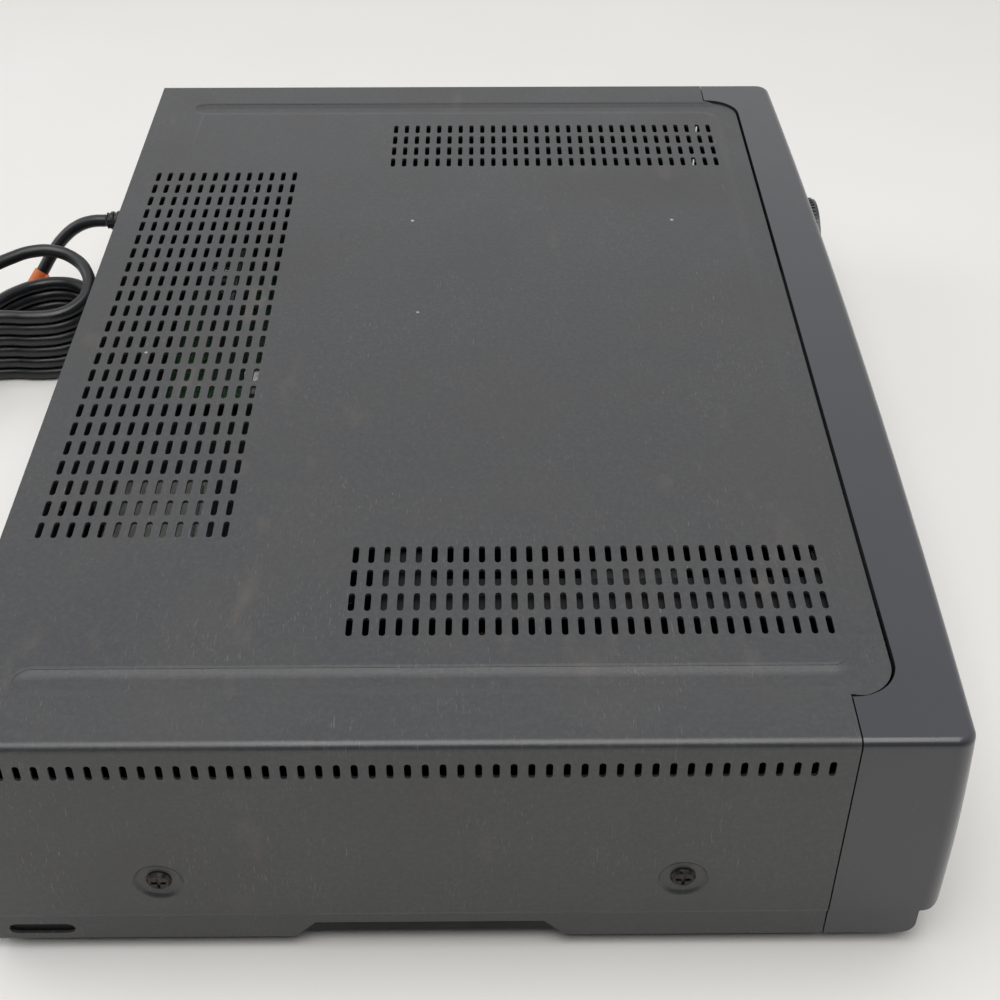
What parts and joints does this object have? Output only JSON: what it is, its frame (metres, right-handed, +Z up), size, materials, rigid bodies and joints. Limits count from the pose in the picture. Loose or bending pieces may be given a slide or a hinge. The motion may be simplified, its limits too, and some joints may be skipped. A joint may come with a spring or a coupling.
{
  "type": "video cassette recorder",
  "caption": "Front-loading video cassette recorder with slotted steel cover, moulded front, jog dial, cassette lift, tape deck and tied mains lead.",
  "frame": {"origin": "centre of the base of the recorder without its mains lead, on the surface it stands on", "axes": "+X to the right seen from the front, +Y to the rear, +Z up"},
  "size_m": [0.431, 0.443, 0.094],
  "materials": {
    "grey_paint": "fine matte paint on folded steel",
    "gloss_plastic": "smooth moulded plastic",
    "smoked_window": "dark clear plastic",
    "dark_plastic": "satin moulded plastic",
    "silver_trim": "bright plated metal",
    "steel": "zinc-plated sheet",
    "aluminium": "machined",
    "rubber": "matte",
    "nylon": "moulded nylon",
    "brass": "turned",
    "board": "laminate",
    "lead_jacket": "flexible vinyl"
  },
  "bodies": {
    "root": {"top_cover": "grey_paint", "front_bezel": "gloss_plastic", "bottom_chassis": "steel", "rear_panel": "steel", "foot_front_left": "rubber", "foot_front_right": "rubber", "foot_rear_left": "rubber", "foot_rear_right": "rubber", "cover_screw_front_left": "dark_plastic", "cover_screw_front_right": "dark_plastic", "cover_screw_rear_left": "dark_plastic", "cover_screw_rear_right": "dark_plastic", "display_window": "smoked_window", "front_board": "board", "dial_trim_ring": "silver_trim", "deck_plate": "steel", "housing_side_left": "steel", "housing_side_right": "steel", "housing_top": "steel", "lower_drum": "aluminium", "capstan_bearing": "brass", "loading_motor": "steel", "erase_head": "aluminium", "sound_head": "aluminium", "main_board": "board", "transformer": "steel", "heat_sink": "aluminium", "tuner_can": "silver_trim", "jack_block": "dark_plastic", "aerial_block": "steel", "strain_relief": "lead_jacket", "mains_lead": "lead_jacket", "mains_lead_hank": "lead_jacket", "mains_plug": "lead_jacket"},
    "door": {"cassette_door": "gloss_plastic"},
    "slide_frame": {"slide_frame": "steel"},
    "holder": {"cassette_holder": "steel"},
    "upper_drum": {"upper_drum": "aluminium"},
    "capstan": {"capstan_flywheel": "steel"},
    "pinch_arm": {"pinch_arm": "steel"},
    "pinch_roller": {"pinch_roller": "rubber"},
    "supply_reel": {"supply_reel": "nylon"},
    "takeup_reel": {"takeup_reel": "nylon"},
    "idler_arm": {"idler_arm": "steel"},
    "idler_wheel": {"idler_wheel": "nylon"},
    "loading_post_left": {"loading_post_left": "aluminium"},
    "loading_post_right": {"loading_post_right": "aluminium"},
    "tension_arm": {"tension_arm": "steel"},
    "loading_worm": {"loading_worm": "brass"},
    "worm_wheel": {"worm_wheel": "nylon"},
    "jog_dial": {"jog_dial": "dark_plastic"},
    "shuttle_ring": {"shuttle_ring": "dark_plastic"},
    "power_button": {"power_button": "dark_plastic"},
    "eject_button": {"eject_button": "dark_plastic"},
    "rewind_button": {"rewind_button": "dark_plastic"},
    "play_button": {"play_button": "dark_plastic"},
    "forward_button": {"forward_button": "dark_plastic"},
    "stop_button": {"stop_button": "dark_plastic"},
    "pause_button": {"pause_button": "dark_plastic"},
    "record_button": {"record_button": "dark_plastic"}
  },
  "joints": [
    {"name": "door_hinge", "type": "hinge", "parent": "root", "child": "door", "pos_m": [-0.058, -0.1373, 0.087], "axis": [1, 0, 0], "range_deg": [0, 80], "stiffness_Nm_per_rad": 0.01, "springref_deg": -17.19},
    {"name": "lift_in", "type": "slide", "parent": "root", "child": "slide_frame", "axis": [0, 1, 0], "range_m": [0, 0.04]},
    {"name": "lift_down", "type": "slide", "parent": "slide_frame", "child": "holder", "axis": [0, 0, -1], "range_m": [0, 0.017]},
    {"name": "drum_spin", "type": "hinge", "parent": "root", "child": "upper_drum", "pos_m": [-0.058, 0.056, 0.0303], "axis": [0, -0.1038, 0.9946], "continuous": true},
    {"name": "capstan_spin", "type": "hinge", "parent": "root", "child": "capstan", "pos_m": [-0.018, 0.018, 0.03], "axis": [0, 0, 1], "continuous": true},
    {"name": "pinch_swing", "type": "hinge", "parent": "root", "child": "pinch_arm", "pos_m": [0.012, 0.026, 0.03], "axis": [0, 0, 1], "range_deg": [-30, 0], "stiffness_Nm_per_rad": 0.01, "springref_deg": 11.46},
    {"name": "pinch_roller_spin", "type": "hinge", "parent": "pinch_arm", "child": "pinch_roller", "pos_m": [-0.00081, 0.00407, 0.045], "axis": [0, 0, 1], "continuous": true},
    {"name": "supply_spin", "type": "hinge", "parent": "root", "child": "supply_reel", "pos_m": [-0.104, -0.045, 0.03], "axis": [0, 0, 1], "continuous": true},
    {"name": "takeup_spin", "type": "hinge", "parent": "root", "child": "takeup_reel", "pos_m": [-0.012, -0.045, 0.03], "axis": [0, 0, 1], "continuous": true},
    {"name": "idler_swing", "type": "hinge", "parent": "root", "child": "idler_arm", "pos_m": [-0.058, -0.021, 0.03], "axis": [0, 0, 1], "range_deg": [-10, 10]},
    {"name": "idler_spin", "type": "hinge", "parent": "idler_arm", "child": "idler_wheel", "pos_m": [-0.058, -0.047, 0.032], "axis": [0, 0, 1], "continuous": true},
    {"name": "cam_turn", "type": "hinge", "parent": "root", "child": "worm_wheel", "pos_m": [0.0135, 0.051, 0.03], "axis": [0, 0, 1], "range_deg": [0, 300]},
    {"name": "worm_spin", "type": "hinge", "parent": "root", "child": "loading_worm", "pos_m": [0.03, 0.05, 0.0423], "axis": [0, 1, 0], "range_deg": [0, 6600]},
    {"name": "post_right_swing", "type": "hinge", "parent": "root", "child": "loading_post_right", "pos_m": [-0.058, 0.056, 0.03], "axis": [0, 0, 1], "range_deg": [0, 88]},
    {"name": "post_left_swing", "type": "hinge", "parent": "root", "child": "loading_post_left", "pos_m": [-0.058, 0.056, 0.03], "axis": [0, 0, 1], "range_deg": [-88, 0]},
    {"name": "tension_swing", "type": "hinge", "parent": "root", "child": "tension_arm", "pos_m": [-0.128, 0.012, 0.03], "axis": [0, 0, 1], "range_deg": [0, 20], "stiffness_Nm_per_rad": 0.005},
    {"name": "jog_turn", "type": "hinge", "parent": "root", "child": "jog_dial", "pos_m": [0.1305, -0.15, 0.052], "axis": [0, -1, 0], "continuous": true},
    {"name": "shuttle_turn", "type": "hinge", "parent": "root", "child": "shuttle_ring", "pos_m": [0.1305, -0.15, 0.052], "axis": [0, -1, 0], "range_deg": [-70, 70], "stiffness_Nm_per_rad": 0.01},
    {"name": "power_press", "type": "slide", "parent": "root", "child": "power_button", "axis": [0, 1, 0], "range_m": [0, 0.001], "stiffness_N_per_m": 300},
    {"name": "eject_press", "type": "slide", "parent": "root", "child": "eject_button", "axis": [0, 1, 0], "range_m": [0, 0.001], "stiffness_N_per_m": 300},
    {"name": "rewind_press", "type": "slide", "parent": "root", "child": "rewind_button", "axis": [0, 1, 0], "range_m": [0, 0.001], "stiffness_N_per_m": 300},
    {"name": "play_press", "type": "slide", "parent": "root", "child": "play_button", "axis": [0, 1, 0], "range_m": [0, 0.001], "stiffness_N_per_m": 300},
    {"name": "forward_press", "type": "slide", "parent": "root", "child": "forward_button", "axis": [0, 1, 0], "range_m": [0, 0.001], "stiffness_N_per_m": 300},
    {"name": "stop_press", "type": "slide", "parent": "root", "child": "stop_button", "axis": [0, 1, 0], "range_m": [0, 0.001], "stiffness_N_per_m": 300},
    {"name": "pause_press", "type": "slide", "parent": "root", "child": "pause_button", "axis": [0, 1, 0], "range_m": [0, 0.001], "stiffness_N_per_m": 300},
    {"name": "record_press", "type": "slide", "parent": "root", "child": "record_button", "axis": [0, 1, 0], "range_m": [0, 0.001], "stiffness_N_per_m": 300}
  ],
  "couplings": [
    {"joint": "worm_spin", "follows": "cam_turn", "ratio": 22},
    {"joint": "post_right_swing", "follows": "cam_turn", "ratio": 0.2933},
    {"joint": "post_left_swing", "follows": "cam_turn", "ratio": -0.2933}
  ]
}
